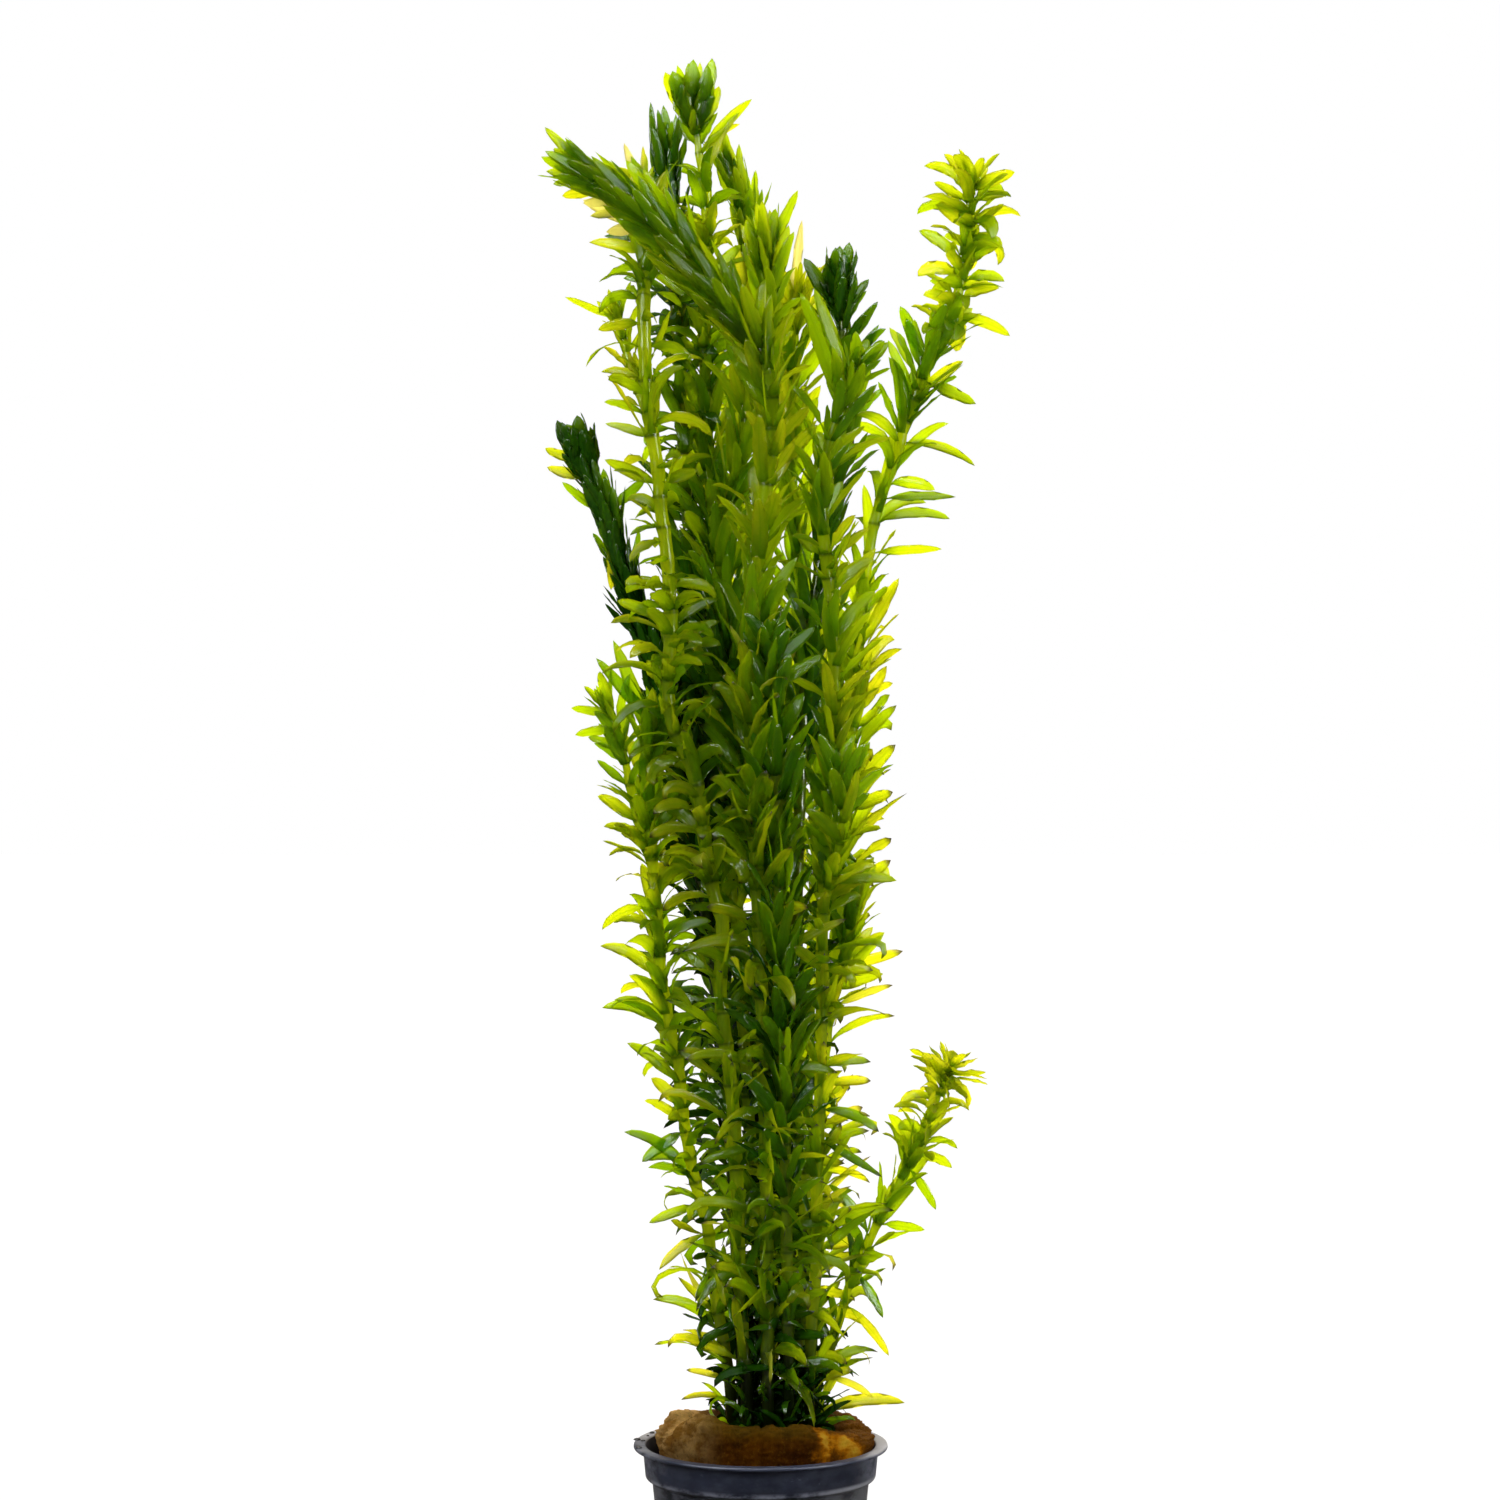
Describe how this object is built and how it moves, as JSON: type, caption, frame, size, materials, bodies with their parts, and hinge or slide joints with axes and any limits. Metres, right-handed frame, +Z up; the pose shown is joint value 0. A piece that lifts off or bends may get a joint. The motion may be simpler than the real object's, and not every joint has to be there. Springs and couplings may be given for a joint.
{
  "type": "potted canadian waterweed",
  "caption": "Tuft of leafy underwater plant shoots wrapped in mineral wool, standing in a small round plastic pot, for planting in an aquarium",
  "frame": {"origin": "middle of the flat foot of the pot, on the surface that the pot stands on", "axes": "+Z up along the shoots, +X to the right as seen from the front, +Y away from the viewer"},
  "size_m": [0.1015, 0.0602, 0.3491],
  "materials": {
    "pot_plastic": "satin",
    "mineral_wool": "matte",
    "waterweed": "satin"
  },
  "bodies": {
    "root": {"pot": "pot_plastic", "rock_wool": "mineral_wool", "shoot_tallest": "waterweed", "shoot_bowing_left": "waterweed", "shoot_dark_brush": "waterweed", "shoot_beside_tallest": "waterweed", "shoot_centre_high": "waterweed", "shoot_dark_right": "waterweed", "shoot_right_arm": "waterweed", "shoot_left_dark": "waterweed", "shoot_low_left": "waterweed", "shoot_low_right": "waterweed", "shoot_clear_left": "waterweed", "shoot_back_left": "waterweed", "shoot_right_fan": "waterweed", "shoot_centre_mid": "waterweed", "shoot_back_right": "waterweed", "side_shoot_left": "waterweed", "side_shoot_low_left": "waterweed", "side_shoot_right_upper": "waterweed", "side_shoot_right_lower": "waterweed"}
  },
  "joints": []
}
